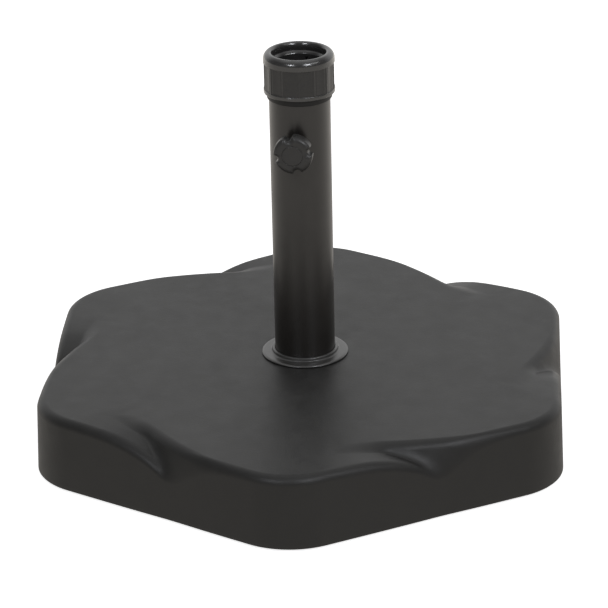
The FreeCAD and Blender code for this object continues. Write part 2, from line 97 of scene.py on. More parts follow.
def closed_edges(points):
    """Each point of a closed polygon with the one after it."""
    points = [np.array(p, float) for p in points]
    return zip(points, points[1:] + points[:1])


def soften(points, size, keep):
    """A closed (r, z) polygon with its corners rounded, except those in keep."""
    out = []
    for i, (point, after) in enumerate(closed_edges(points)):
        if i in keep:
            out.append(point)
            continue
        before = np.array(points[i - 1], float)
        len_before, len_after = np.hypot(*(before - point)), np.hypot(*(after - point))
        cut = min(size, len_before * 0.4, len_after * 0.4)
        start = point + (before - point) / len_before * cut
        end = point + (after - point) / len_after * cut
        for t in (0.0, 0.33, 0.67, 1.0):
            out.append(start * (1 - t) ** 2 + 2 * point * t * (1 - t) + end * t * t)
    return np.array(out)


def subdivide_long(points, step):
    """Extra points along the long straight edges of a closed polygon."""
    out = []
    for start, end in closed_edges(points):
        count = max(1, int(np.hypot(*(end - start)) / step))
        for s in range(count):
            out.append(start + (end - start) * s / count)
    return np.array(out)


def catmull(points, steps):
    """Catmull-Rom curve through the points, with so many steps a span."""
    p = np.array(points, float)
    q = np.vstack([2 * p[0] - p[1], p, 2 * p[-1] - p[-2]])
    out = []
    for i in range(1, len(q) - 2):
        for s in range(steps):
            t = s / steps
            out.append(0.5 * (2 * q[i] + (q[i + 1] - q[i - 1]) * t
                              + (2 * q[i - 1] - 5 * q[i] + 4 * q[i + 1] - q[i + 2]) * t * t
                              + (3 * q[i] - q[i - 1] - 3 * q[i + 1] + q[i + 2]) * t ** 3))
    out.append(p[-1])
    return out


def monotone_curve(table):
    """Smooth curve through (x, y) points that never overshoots them (PCHIP)."""
    xs = [float(p[0]) for p in table]
    ys = [float(p[1]) for p in table]
    n = len(xs)
    width = [xs[i + 1] - xs[i] for i in range(n - 1)]
    slope = [(ys[i + 1] - ys[i]) / width[i] for i in range(n - 1)]
    tangent = [slope[0]] + [0.0] * (n - 2) + [slope[-1]]
    for i in range(1, n - 1):
        if slope[i - 1] * slope[i] > 0.0:
            w1, w2 = 2 * width[i] + width[i - 1], width[i] + 2 * width[i - 1]
            tangent[i] = (w1 + w2) / (w1 / slope[i - 1] + w2 / slope[i])

    def curve(x):
        if x <= xs[0]:
            return ys[0]
        if x >= xs[-1]:
            return ys[-1]
        i = 0
        while x > xs[i + 1]:
            i += 1
        t = (x - xs[i]) / width[i]
        return (ys[i] * (1 + 2 * t) * (1 - t) ** 2 + width[i] * tangent[i] * t * (1 - t) ** 2
                + ys[i + 1] * t * t * (3 - 2 * t)
                + width[i] * tangent[i + 1] * t * t * (t - 1))
    return curve


# ------------------------------------------------------------ base shell
SIDES = 6
SECTOR = 360.0 / SIDES
HALF_SECTOR = math.radians(30.0)
FIRST_CORNER = -90.0                 # azimuth of a corner of the six-sided plan
RIM_Z, APOTHEM, CORNER_R = 2.0, 219.1, 61.6
SIDE_DRAFT = 2.2                     # how far the wall leans in at the top
SHELL_T = 3.0
CENTRE_Z, CROWN_R0, CROWN_R1, CROWN_DROP = 64.6, 44.0, 212.0, 0.7
EDGE_R = 8.0                         # round between top and side wall
CREST_R, STEP_SLOPE = 10.0, 66.0     # round of a crest, and slope of the step outside it
BLEND = 12.0                         # fillet at the foot of the step
FADE_DROP, FADE_MIN = 8.0, 0.4       # the step eases off where the tail drops less than this
WELL_RI, WELL_FLOOR, WELL_FLOOR_T = 25.6, 23.0, 3.0
WELL_RO = WELL_RI + SHELL_T
WELL_BOTTOM = WELL_FLOOR - WELL_FLOOR_T
FLOOR_HOLE_R = 5.5
AZIMUTH_STEPS = 720
RUN_STEPS = (9, 72, 26, 12)          # inner top, outer top, edge round, side wall
LINING_STEPS = 24

# (degrees short of the corner, inset of the crest line from the outline)
CREST_INSET = [(-60.0, 42.0), (-50.0, 41.9), (-45.0, 40.3), (-40.0, 35.6),
               (-35.0, 28.8), (-30.0, 22.0), (-25.0, 16.0), (-20.0, 10.8),
               (-15.0, 6.6), (-10.0, 3.2), (-5.0, 0.9), (0.0, 0.0)]
# (degrees past the corner, drop of the low ground outside the crest)
TAIL_DROP = [(0.0, 0.0), (8.0, 0.3), (14.0, 1.2), (18.0, 2.5), (21.0, 4.5),
             (24.0, 7.4), (27.0, 11.4), (30.0, 17.0), (33.0, 23.4),
             (36.0, 28.2), (40.0, 31.6), (45.0, 33.8), (60.0, 37.0)]
# (degrees from the corner, inset where the finely divided part of the top begins)
FINE_INSET = [(-50.0, 30.0), (-45.0, 42.0), (-40.0, 48.0), (-35.0, 42.0),
              (-30.0, 34.0), (-25.0, 27.0), (-20.0, 21.0), (-15.0, 17.0),
              (-10.0, 14.0), (0.0, 13.0), (5.0, 16.0)]

crest_inset = monotone_curve(CREST_INSET)
tail_drop = monotone_curve(TAIL_DROP)
fine_inset = monotone_curve([(x + shift, y) for shift in (-SECTOR, 0.0, SECTOR)
                             for x, y in FINE_INSET])


def outline(azimuth, inset=0.0):
    """Radius of the rounded hexagon in plan."""
    apothem, corner_r = APOTHEM - inset, CORNER_R - inset
    arc_centre = (apothem - corner_r) / math.cos(HALF_SECTOR)
    off_corner = (azimuth - FIRST_CORNER + 30.0) % SECTOR - 30.0
    angle = math.radians(abs(off_corner))
    arc_end = math.atan2(corner_r * 0.5, arc_centre + corner_r * math.cos(HALF_SECTOR))
    if angle <= arc_end:
        return (arc_centre * math.cos(angle)
                + math.sqrt(corner_r * corner_r - (arc_centre * math.sin(angle)) ** 2))
    return apothem / math.cos(HALF_SECTOR - angle)


def crown(r):
    share = np.clip((r - CROWN_R0) / (CROWN_R1 - CROWN_R0), 0, None)
    return CENTRE_Z - CROWN_DROP * share ** 1.6


def crest_fall(distance):
    """Fall at a distance outside the crest line: an arc, then a straight slope."""
    slope = math.radians(STEP_SLOPE)
    reach = CREST_R * math.sin(slope)
    on_arc = np.clip(distance, 0.0, reach)
    return ((CREST_R - np.sqrt(CREST_R ** 2 - on_arc * on_arc))
            + np.clip(distance - reach, 0, None) * math.tan(slope))


def top_height(r, azimuth, r_out):
    past_corner = (azimuth - FIRST_CORNER) % SECTOR
    to_corner = past_corner - SECTOR
    base = crown(r)
    drop = tail_drop(past_corner)
    if drop <= 1e-6:
        return base
    fade = min(1.0, drop / FADE_DROP)
    fade = FADE_MIN + (1.0 - FADE_MIN) * fade * fade * (3.0 - 2.0 * fade)
    step = base - crest_fall(fade * (r - (r_out - crest_inset(to_corner))))
    ground = base - drop
    k = min(BLEND, drop)
    return (np.maximum(step, ground)
            + np.clip(k - np.abs(step - ground), 0.0, None) ** 2 / (4 * k))


def shell_profile(azimuth):
    """Outer (r, z) line from the crown to the rim, in four runs."""
    r_top, r_rim = outline(azimuth, SIDE_DRAFT), outline(azimuth)
    r_fine = r_top - fine_inset((azimuth - FIRST_CORNER + 50.0) % SECTOR - 50.0)
    r_flat = r_top - EDGE_R
    runs = []
    for start, end, count in ((CROWN_R0, r_fine, 41), (r_fine, r_flat, 161)):
        r = np.linspace(start, end, count)
        runs.append(np.c_[r, top_height(r, azimuth, r_top)])
    a = np.radians(np.linspace(0, 90.0, 61))
    r = r_flat + EDGE_R * np.sin(a)
    runs.append(np.c_[r, top_height(r, azimuth, r_top) - EDGE_R * (1 - np.cos(a))])
    wall_z = runs[-1][-1, 1]
    s = np.linspace(0, 1, 13)
    runs.append(np.c_[r_top + (r_rim - r_top) * s * (wall_z - RIM_Z) / (CENTRE_Z - RIM_Z),
                      wall_z + (RIM_Z - wall_z) * s])
    return runs


def resample(line, count):
    s = np.r_[0, np.cumsum(np.hypot(*(np.diff(line, axis=0).T)))]
    t = np.linspace(0, s[-1], count + 1)
    return np.c_[np.interp(t, s, line[:, 0]), np.interp(t, s, line[:, 1])]


def unit_rows(vectors):
    return vectors / np.maximum(np.hypot(vectors[:, 0], vectors[:, 1]), 1e-9)[:, None]


def offset_inwards(line, distance):
    """A line moved along its own normals."""
    d = unit_rows(np.diff(line, axis=0))
    tangent = unit_rows(np.vstack([d[:1], d[:-1] + d[1:], d[-1:]]))
    return line + distance * np.c_[tangent[:, 1], -tangent[:, 0]]


def shell_column(azimuth):
    """The closed (r, z) section: well, outer face, rim, inner face, well outside."""
    runs = shell_profile(azimuth)
    outer = np.vstack([resample(run, count)[:-1] for run, count in zip(runs[:-1], RUN_STEPS)]
                      + [resample(runs[-1], RUN_STEPS[-1])])
    r_rim = outer[-1, 0]
    outer[-1] = (r_rim, RIM_Z + 0.7)
    rim = np.array([(r_rim - 0.06, RIM_Z + 0.3), (r_rim - 0.3, RIM_Z + 0.06),
                    (r_rim - 0.7, RIM_Z), (r_rim - 2.4, RIM_Z),
                    (r_rim - 2.8, RIM_Z + 0.1), (r_rim - SHELL_T, RIM_Z + 0.5)])
    fine = np.vstack([runs[0]] + [run[1:] for run in runs[1:]])
    inner = offset_inwards(fine, SHELL_T)
    inner = inner[(inner[:, 1] > RIM_Z + 2.0) & (inner[:, 0] > CROWN_R0 + 0.5)]
    # leave out points that run back, so that the offset line can't fold on itself
    kept = [inner[0]]
    for point in inner[1:]:
        if point[0] > kept[-1][0] - 0.4 and point[1] < kept[-1][1] + 2.0:
            kept.append(point)
    inner = resample(np.array(kept), LINING_STEPS)[::-1]
    under_z = CENTRE_Z - SHELL_T
    well = np.array([(FLOOR_HOLE_R, WELL_BOTTOM), (FLOOR_HOLE_R, WELL_FLOOR),
                     (WELL_RI - 1.0, WELL_FLOOR), (WELL_RI, WELL_FLOOR + 1.0),
                     (WELL_RI, 40.0), (WELL_RI, CENTRE_Z - 1.0),
                     (WELL_RI + 0.3, CENTRE_Z - 0.3), (WELL_RI + 1.0, CENTRE_Z),
                     (34.0, CENTRE_Z)])
    well_outside = np.array([(CROWN_R0, under_z), (WELL_RO + 1.0, under_z),
                             (WELL_RO, under_z - 1.0), (WELL_RO, 40.0),
                             (WELL_RO, WELL_BOTTOM + 0.5), (WELL_RO - 0.5, WELL_BOTTOM)])
    return np.vstack([well, outer, rim, inner, well_outside])


def shell_rows():
    per_sector = AZIMUTH_STEPS // SIDES
    columns = [shell_column(FIRST_CORNER + SECTOR * i / per_sector) for i in range(per_sector)]
    rows = np.zeros((len(columns[0]), AZIMUTH_STEPS, 3))
    for i in range(AZIMUTH_STEPS):
        a = math.radians(FIRST_CORNER + 360.0 * i / AZIMUTH_STEPS)
        r, z = columns[i % per_sector].T
        rows[:, i] = np.c_[r * math.cos(a), r * math.sin(a), z]
    return rows


shell = make_skin("shell_skin", shell_rows(), "base", "base_shell")

# ------------------------------------------------------------ trim ring
ROLL_CENTRE_R, ROLL_WIDTH, ROLL_HEIGHT = 34.0, 2.6, 1.25
RING_R, RING_BORE_R = ROLL_CENTRE_R + ROLL_WIDTH, 25.46
# (r, height above the shell's crown)
RING_UNDERSIDE = [(RING_BORE_R, 0.06), (35.3, 0.06), (35.5, 0.5), (36.3, 0.55), (RING_R, 0.85)]
RING_TOP = [(32.5, 2.24), (29.4, 2.32), (28.3, 2.8), (27.95, 4.9), (27.4, 5.4),
            (RING_BORE_R + 0.3, 5.4), (RING_BORE_R, 5.1)]


def trim_ring_rows():
    def lifted(points):
        return [(r, CENTRE_Z + z) for r, z in points]

    roll = [(ROLL_CENTRE_R + ROLL_WIDTH * math.sin(math.radians(a)),
             CENTRE_Z + 0.95 + ROLL_HEIGHT * math.cos(math.radians(a)))
            for a in np.linspace(90, 4, 12)]
    section = np.vstack([soften(lifted(RING_UNDERSIDE), 0.12, keep=(0, 4)), roll,
                         soften(lifted(RING_TOP), 0.4, keep=(0, 6))])
    return [ring_row(r, z, full_turn(256)) for r, z in subdivide_long(section, 1.2)]


ring = make_skin("trim_ring_skin", trim_ring_rows(), "cover_ring", "trim_ring")

# ------------------------------------------------------------ cap
CAP_R, CAP_BOTTOM, CAP_TOP = 29.5, 298.8, 333.5
FACETS, FACET_STEPS, CAP_CLOCK = 14, 32, -87.3
FACET_BOTTOM, FACET_TOP = 302.7, 324.5
FACET_CORNER_R, FACET_SET_BACK = 0.7, 0.02
HOLLOW = 0.20                                        # depth ground into each flat
GROOVE, GROOVE_PLACE, GROOVE_WIDTH = 0.30, 1.35, 0.55  # beside each corner
BOTTOM_ROUND = 1.1
# (share of the way from facet to full radius, height from the end of the facets)
FACET_FOOT = [(1.0, -0.9), (0.985, -0.62), (0.9, -0.36), (0.72, -0.16), (0.45, -0.04),
              (0.2, 0.02), (0.06, 0.12), (0.0, 0.35)]
FACET_HEAD = [(0.0, -0.35), (0.06, -0.12), (0.2, -0.03), (0.5, 0.0), (0.8, 0.06),
              (0.95, 0.2), (1.0, 0.5)]
# (r, z)
CAP_DOME = [(CAP_R, 327.1), (29.25, 329.5), (28.1, 331.8), (26.3, 333.2), (24.4, CAP_TOP),
            (22.9, 332.9), (22.2, 331.7)]
CAP_BORE = [(22.2, 331.7), (22.2, 327.2), (25.45, 327.2), (25.45, 322.6), (24.8, 322.3),
            (24.8, 320.9), (26.07, 319.7), (26.07, 301.6), (27.1, 301.0),
            (27.1, CAP_BOTTOM), (28.4, CAP_BOTTOM)]


def facet_radius(angles):
    """Radius of the faceted band: hollow flats, with a bead along each corner."""
    step = 2 * np.pi / FACETS
    off_middle = (angles - math.radians(CAP_CLOCK)) % step - step / 2
    off_corner = step / 2 - np.abs(off_middle)
    apothem = CAP_R * math.cos(step / 2) - FACET_SET_BACK
    centre = (apothem - FACET_CORNER_R) / math.cos(step / 2)
    arc_end = math.atan2(FACET_CORNER_R * math.sin(step / 2),
                         centre + FACET_CORNER_R * math.cos(step / 2))
    arc = centre * np.cos(off_corner) + np.sqrt(
        np.maximum(FACET_CORNER_R ** 2 - (centre * np.sin(off_corner)) ** 2, 0))
    radius = np.where(off_corner <= arc_end, arc, apothem / np.cos(np.abs(off_middle)))
    radius = radius - HOLLOW * np.cos(np.pi * off_middle / step) ** 2
    return radius - GROOVE * np.exp(-((CAP_R * off_corner - GROOVE_PLACE) / GROOVE_WIDTH) ** 2)


def cap_rows():
    angles = math.radians(CAP_CLOCK) + full_turn(FACETS * FACET_STEPS)
    facet = facet_radius(angles)
    line = []                                        # (radius, z) of each row
    for a in np.radians(np.linspace(0, 90, 7)):
        line.append((CAP_R - BOTTOM_ROUND + BOTTOM_ROUND * math.sin(a),
                     CAP_BOTTOM + BOTTOM_ROUND - BOTTOM_ROUND * math.cos(a)))
    line.append((CAP_R, CAP_BOTTOM + 2.2))
    line += [(facet + (CAP_R - facet) * share, FACET_BOTTOM + dz) for share, dz in FACET_FOOT]
    line += [(facet, z) for z in np.linspace(FACET_BOTTOM + 1.2, FACET_TOP - 1.2, 12)]
    line += [(facet + (CAP_R - facet) * share, FACET_TOP + dz) for share, dz in FACET_HEAD]
    line.append((CAP_R, 326.0))
    line += [(min(r, CAP_R), min(z, CAP_TOP)) for r, z in catmull(CAP_DOME, 7)]
    line += list(soften(CAP_BORE, 0.2, keep=(0, 10))[1:-1])
    return [ring_row(r, z, angles) for r, z in line]


cap = make_skin("cap_skin", cap_rows(), "cap", "cap_nut")

# ------------------------------------------------------------ threaded collar
COLLAR_BOTTOM, COLLAR_TOP, SPIGOT_R, COLLAR_BORE_R = 273.3, 319.3, 23.3, 20.6
SKIRT_BOTTOM, SKIRT_TOP, SKIRT_R = 294.3, 300.7, 26.9
THREAD_R, THREAD_PITCH, THREAD_DEPTH, THREAD_ROW = 26.0, 4.0, 0.85, 0.2
# (r, z)
COLLAR_LOWER = [(SPIGOT_R, COLLAR_BOTTOM), (SPIGOT_R, 299.6), (25.52, 299.6),
                (25.52, SKIRT_BOTTOM), (26.6, SKIRT_BOTTOM), (SKIRT_R, SKIRT_BOTTOM + 0.5),
                (SKIRT_R, SKIRT_TOP), (THREAD_R, SKIRT_TOP)]
COLLAR_UPPER = [(THREAD_R, COLLAR_TOP - 0.8), (25.2, COLLAR_TOP), (24.6, COLLAR_TOP),
                (24.0, COLLAR_TOP - 2.0), (COLLAR_BORE_R, COLLAR_TOP - 18.0),
                (COLLAR_BORE_R, COLLAR_BOTTOM + 1.0), (21.4, COLLAR_BOTTOM),
                (SPIGOT_R, COLLAR_BOTTOM)]


def collar_rows():
    angles = full_turn(240)
    line = list(soften(COLLAR_LOWER, 0.2, keep=(0, 7))[1:-1])
    for z in np.arange(SKIRT_TOP + 0.05, COLLAR_TOP - 0.85, THREAD_ROW):
        phase = ((z - THREAD_PITCH * angles / (2 * np.pi)) / THREAD_PITCH) % 1.0
        groove = np.clip((np.abs(phase - 0.5) * 2 - 0.42) / 0.3, 0, 1)
        groove = groove * groove * (3 - 2 * groove)
        fade = min(1.0, (z - SKIRT_TOP) / 1.2, max(0.0, (COLLAR_TOP - 1.0 - z) / 1.6))
        line.append((THREAD_R - THREAD_DEPTH * groove * fade, z))
    line += list(soften(COLLAR_UPPER, 0.15, keep=(0, 7)))
    return [ring_row(r, z, angles) for r, z in line]


collar = make_skin("collar_skin", collar_rows(), "base", "threaded_collar")

# ------------------------------------------------------------ clamp knob
KNOB_AZIMUTH, KNOB_Z, KNOB_R = -95.4, 257.3, 16.2
KNOB_BACK, KNOB_FRONT = 31.9, 42.7       # distances out from the pole axis
NOTCHES, NOTCH_R, NOTCH_PITCH_R, NOTCH_CLOCK, NOTCH_BLEND = 4, 3.0, 15.9, 13.5, 1.3
BACK_ROUND = 1.6
FRONT_ROUND_IN, FRONT_ROUND_DEEP = 4.7, 3.4
BORE_R, HEX_WIDTH, HEX_FLOOR = 4.05, 13.1, 36.0
RECESS_R, RECESS_FLOOR, RECESS_LIP_R = 8.6, 41.1, 8.95
DISC_R, DISC_BACK, PIN_HOLE_R = 8.55, 41.12, 0.25
# (r, distance out) of the lip and wall of the round recess in the front
RECESS_WALL = [(8.8, KNOB_FRONT), (8.66, KNOB_FRONT - 0.05), (RECESS_R, KNOB_FRONT - 0.2),
               (RECESS_R, 41.2), (8.5, RECESS_FLOOR)]
# (r, distance out) of the dished disc that fills the recess
DISC = [(DISC_R, DISC_BACK), (DISC_R, 42.4), (8.49, 42.65), (8.3, 42.83), (8.0, 42.9),
        (6.5, 42.86), (4.0, 42.8), (1.5, 42.77), (PIN_HOLE_R, 42.765),
        (PIN_HOLE_R, 41.14), (3.0, DISC_BACK), (6.0, DISC_BACK)]
knob_angles = full_turn(480)
knob_turn = math.radians(KNOB_AZIMUTH + 90.0)


def knob_field(r):
    """Signed distance from the knob's notched outline (negative inside)."""
    x, y = r * np.cos(knob_angles), r * np.sin(knob_angles)
    field = r - KNOB_R
    for i in range(NOTCHES):
        a = math.radians(NOTCH_CLOCK + 360.0 / NOTCHES * i)
        notch = NOTCH_R - np.hypot(x - NOTCH_PITCH_R * math.cos(a),
                                   y - NOTCH_PITCH_R * math.sin(a))
        h = np.clip(0.5 + 0.5 * (field - notch) / NOTCH_BLEND, 0, 1)
        field = notch * (1 - h) + field * h + NOTCH_BLEND * h * (1 - h)
    return field


def knob_outline(inset):
    """The outline's radius at every angle, found by halving."""
    lo, hi = np.full(knob_angles.shape, 6.0), np.full(knob_angles.shape, 17.0)
    for _ in range(40):
        mid = (lo + hi) / 2
        inside = knob_field(mid) < -inset
        lo, hi = np.where(inside, mid, lo), np.where(inside, hi, mid)
    return (lo + hi) / 2


def knob_row(radius, out, angles):
    """One ring about the knob's axis, at a distance out from the pole axis."""
    x, z, y = np.moveaxis(ring_row(radius, -out, angles), -1, 0)
    return np.stack([x * math.cos(knob_turn) - y * math.sin(knob_turn),
                     x * math.sin(knob_turn) + y * math.cos(knob_turn), KNOB_Z + z], -1)


def knob_rows():
    full = knob_outline(0.0)
    front = knob_outline(FRONT_ROUND_IN)
    hexagon = HEX_WIDTH / 2 / np.cos((knob_angles + np.pi / 6) % (np.pi / 3) - np.pi / 6)
    line = [(BORE_R, KNOB_BACK), (7.0, KNOB_BACK),
            (np.minimum(knob_outline(2.6), 11.5), KNOB_BACK)]
    for a in np.radians(np.linspace(0, 90, 8)):
        line.append((knob_outline(BACK_ROUND - BACK_ROUND * math.sin(a)),
                     KNOB_BACK + BACK_ROUND - BACK_ROUND * math.cos(a)))
    line += [(full, out) for out in np.linspace(KNOB_BACK + 2.2, KNOB_FRONT - 4.0, 6)]
    for a in np.radians(np.linspace(0, 90, 16)):
        line.append((knob_outline(FRONT_ROUND_IN - FRONT_ROUND_IN * math.cos(a)),
                     KNOB_FRONT - FRONT_ROUND_DEEP + FRONT_ROUND_DEEP * math.sin(a)))
    line += [(RECESS_LIP_R + (front - RECESS_LIP_R) * share, KNOB_FRONT)
             for share in (0.8, 0.55, 0.3, 0.12)]
    line += RECESS_WALL
    line += [(hexagon, RECESS_FLOOR), (hexagon, HEX_FLOOR), (BORE_R, HEX_FLOOR)]
    return [knob_row(r, out, knob_angles) for r, out in line]


def close_pin_hole(ob):
    """Draws the small hole through the middle of the disc shut."""
    bm = bmesh.new()
    bm.from_mesh(ob.data)
    centre = sum((v.co for v in bm.verts), Vector()) / len(bm.verts)
    centre.z = KNOB_Z / 1000.0
    axis = Vector((math.sin(knob_turn), -math.cos(knob_turn), 0.0))
    for v in bm.verts:
        offset = v.co - centre
        radial = offset - axis * offset.dot(axis)
        if radial.length < 0.0004:
            v.co = v.co - radial
    bmesh.ops.remove_doubles(bm, verts=bm.verts, dist=1e-5)
    loose = [e for e in bm.edges if not e.link_faces]
    bmesh.ops.delete(bm, geom=loose, context="EDGES")
    bmesh.ops.recalc_face_normals(bm, faces=bm.faces)
    bm.to_mesh(ob.data)
    bm.free()
    shade_smooth(ob.data)


knob = make_skin("knob_skin", knob_rows(), "knob", "clamp_knob")
knob_disc = make_skin("knob_cap_skin", [knob_row(r, out, full_turn(128)) for r, out in DISC],
                      "knob", "knob_cap")
close_pin_hole(knob_disc)


# ------------------------------------------------------------ node helpers
def map_range(tree, value, span, to, smooth=True):
    node = tree.nodes.new("ShaderNodeMapRange")
    node.interpolation_type = "SMOOTHSTEP" if smooth else "LINEAR"
    for key, number in zip(("From Min", "From Max", "To Min", "To Max"), (*span, *to)):
        node.inputs[key].default_value = number
    tree.links.new(value, node.inputs["Value"])
    return node.outputs["Result"]


def empty_material(name):
    mat = bpy.data.materials.new(name)
    mat.use_nodes = True
    mat.node_tree.nodes.clear()
    return mat


class Mat:
    """Writes a procedural material.  Sizes and depths are in millimetres."""

    def __init__(self, name):
        self.mat = empty_material(name)
        self.tree = self.mat.node_tree
        output = self.node("ShaderNodeOutputMaterial")
        self.bsdf = self.node("ShaderNodeBsdfPrincipled")
        self.put(output.inputs[0], self.bsdf.outputs[0])
        coords = self.node("ShaderNodeTexCoord")
        scaled = self.node("ShaderNodeMapping")
        scaled.inputs["Scale"].default_value = (1000.0, 1000.0, 1000.0)
        self.put(scaled.inputs["Vector"], coords.outputs["Object"])
        self.mm = scaled.outputs["Vector"]       # object space in millimetres
        self.normal = None

    def node(self, kind, **props):
        node = self.tree.nodes.new(kind)
        for key, value in props.items():
            setattr(node, key, value)
        return node

    def put(self, socket, value):
        """Sets a socket to a colour or number, or links an output to it."""
        if isinstance(value, (tuple, list)):
            socket.default_value = (*value, 1.0)
        elif isinstance(value, (int, float)):
            socket.default_value = value
        else:
            self.tree.links.new(value, socket)

    def stretched(self, size=(1.0, 1.0, 1.0), turn=(0, 0, 0)):
        node = self.node("ShaderNodeMapping")
        node.inputs["Scale"].default_value = [1 / s for s in size]
        node.inputs["Rotation"].default_value = turn
        self.put(node.inputs["Vector"], self.mm)
        return node.outputs["Vector"]

    def noise(self, size, detail, rough, vector=None):
        node = self.node("ShaderNodeTexNoise")
        node.inputs["Scale"].default_value = 1.0 / size
        node.inputs["Detail"].default_value = detail
        node.inputs["Roughness"].default_value = rough
        self.put(node.inputs["Vector"], vector or self.mm)
        return node.outputs["Fac"]

    def streaks(self, size, detail=3.0, rough=0.6, turn=(0, 0, 0)):
        return self.noise(1.0, detail, rough, self.stretched(size, turn))

    def voronoi(self, size, out="Distance", vector=None):
        node = self.node("ShaderNodeTexVoronoi")
        node.inputs["Scale"].default_value = 1.0 / size
        self.put(node.inputs["Vector"], vector or self.mm)
        return node.outputs[out]

    def remap(self, value, span, to=(0.0, 1.0)):
        return map_range(self.tree, value, span, to)

    def level(self, value, to, span=(0.25, 0.75)):
        """A straight remap, mostly from a noise to a roughness."""
        return map_range(self.tree, value, span, to, smooth=False)

    def calc(self, operation, *values):
        node = self.node("ShaderNodeMath", operation=operation)
        for socket, value in zip(node.inputs, values):
            self.put(socket, value)
        return node.outputs[0]

    def times(self, a, b):
        return self.calc("MULTIPLY", a, b)

    def mix(self, factor, a, b):
        node = self.node("ShaderNodeMix", data_type="RGBA")
        for index, value in ((0, factor), (6, a), (7, b)):
            self.put(node.inputs[index], value)
        return node.outputs[2]

    def mottled(self, noise, base, dark, light):
        return self.mix(self.remap(noise, span=(0.3, 0.7)), shade(base, dark),
                        shade(base, light))

    def layer(self, under, over, mask, amount):
        return self.mix(self.times(mask, amount), under, over)

    def bump(self, height, strength, depth):
        node = self.node("ShaderNodeBump")
        node.inputs["Strength"].default_value = strength
        node.inputs["Distance"].default_value = depth / 1000.0
        self.put(node.inputs["Height"], height)
        if self.normal is not None:
            self.put(node.inputs["Normal"], self.normal)
        self.normal = node.outputs["Normal"]

    def z_of(self, vector):
        node = self.node("ShaderNodeSeparateXYZ")
        self.put(node.inputs[0], vector)
        return node.outputs[2]

    def geometry(self, out):
        return self.node("ShaderNodeNewGeometry").outputs[out]

    def worn_edges(self, pointiness, size, span, to):
        """Sharp edges, broken up by a noise."""
        sharp = self.remap(self.geometry("Pointiness"), span=pointiness)
        return self.times(sharp, self.remap(self.noise(size, detail=4.0, rough=0.7), span, to))

    def done(self, color, rough, spec, metallic=0.0):
        for key, value in (("Base Color", color), ("Roughness", rough),
                           ("Metallic", metallic), ("Specular IOR Level", spec),
                           ("Normal", self.normal)):
            self.put(self.bsdf.inputs[key], value)
        return self.mat


def shade(color, factor):
    return tuple(x * factor for x in color)


# ------------------------------------------------------------ materials
def moulded_plastic(name, color, rough, grain, scratch, grain_size=0.5, rough_vary=0.05,
                    dust=0.0, wear=0.3, spec=0.5, mottle=0.05, peel=0.0):
    """Moulded plastic: grain, mottling, handling scratches, polished high
    edges, and dust on what faces up."""
    m = Mat(name)
    fine = m.noise(grain_size, detail=3.0, rough=0.62)
    pits = m.voronoi(grain_size * 1.9)
    patches = m.noise(size=7.0, detail=4.0, rough=0.6)
    broad = m.noise(size=90.0, detail=3.0, rough=0.55)
    col = m.mottled(patches, color, dark=1 - mottle, light=1 + mottle)
    col = m.mix(m.remap(broad, span=(0.3, 0.7), to=(0.0, 0.5)), col,
                shade(color, 1 + mottle * 1.4))
    along_x = m.streaks(size=(45.0, 0.5, 6.0), detail=2.0, rough=0.5, turn=(0.3, 0.1, 0.5))
    along_y = m.streaks(size=(0.45, 60.0, 8.0), detail=2.0, rough=0.5,
                        turn=(-0.2, 0.4, -0.35))
    scratches = m.calc("MAXIMUM", m.remap(along_x, span=(0.72, 0.78)),
                       m.remap(along_y, span=(0.73, 0.79)))
    col = m.layer(col, shade(color, 2.1), scratches, amount=0.22 * scratch)
    edge = m.worn_edges(pointiness=(0.515, 0.56), size=3.5, span=(0.35, 0.7), to=(0.2, 1.0))
    col = m.layer(col, shade(color, 1.6), edge, amount=wear)
    if dust > 0:
        film = m.times(m.remap(m.z_of(m.geometry("Normal")), span=(0.75, 1.0)),
                       m.remap(m.noise(size=28.0, detail=5.0, rough=0.7), span=(0.38, 0.75)))
        specks = m.remap(m.voronoi(size=9.0), span=(0.0, 0.035), to=(1.0, 0.0))
        cover = m.calc("MAXIMUM", m.times(film, dust), m.times(specks, dust * 0.8))
        col = m.mix(cover, col, (0.20, 0.195, 0.18))
    r = m.calc("ADD", m.level(m.noise(size=14.0, detail=4.0, rough=0.65),
                              to=(rough - rough_vary, rough + rough_vary)),
               m.level(fine, span=(0.2, 0.8), to=(-0.03, 0.03)))
    r = m.calc("ADD", r, m.times(scratches, 0.10 * scratch))
    r = m.calc("SUBTRACT", r, m.times(edge, 0.08 * wear))
    m.bump(fine, strength=grain, depth=0.06)
    m.bump(pits, strength=grain * 0.5, depth=0.05)
    m.bump(m.noise(size=26.0, detail=2.0, rough=0.4), strength=0.10, depth=0.25)
    if peel > 0:
        m.bump(m.noise(size=4.5, detail=3.0, rough=0.6), strength=peel, depth=0.16)
    m.bump(scratches, strength=0.12 * scratch, depth=-0.02)
    return m.done(col, r, spec)


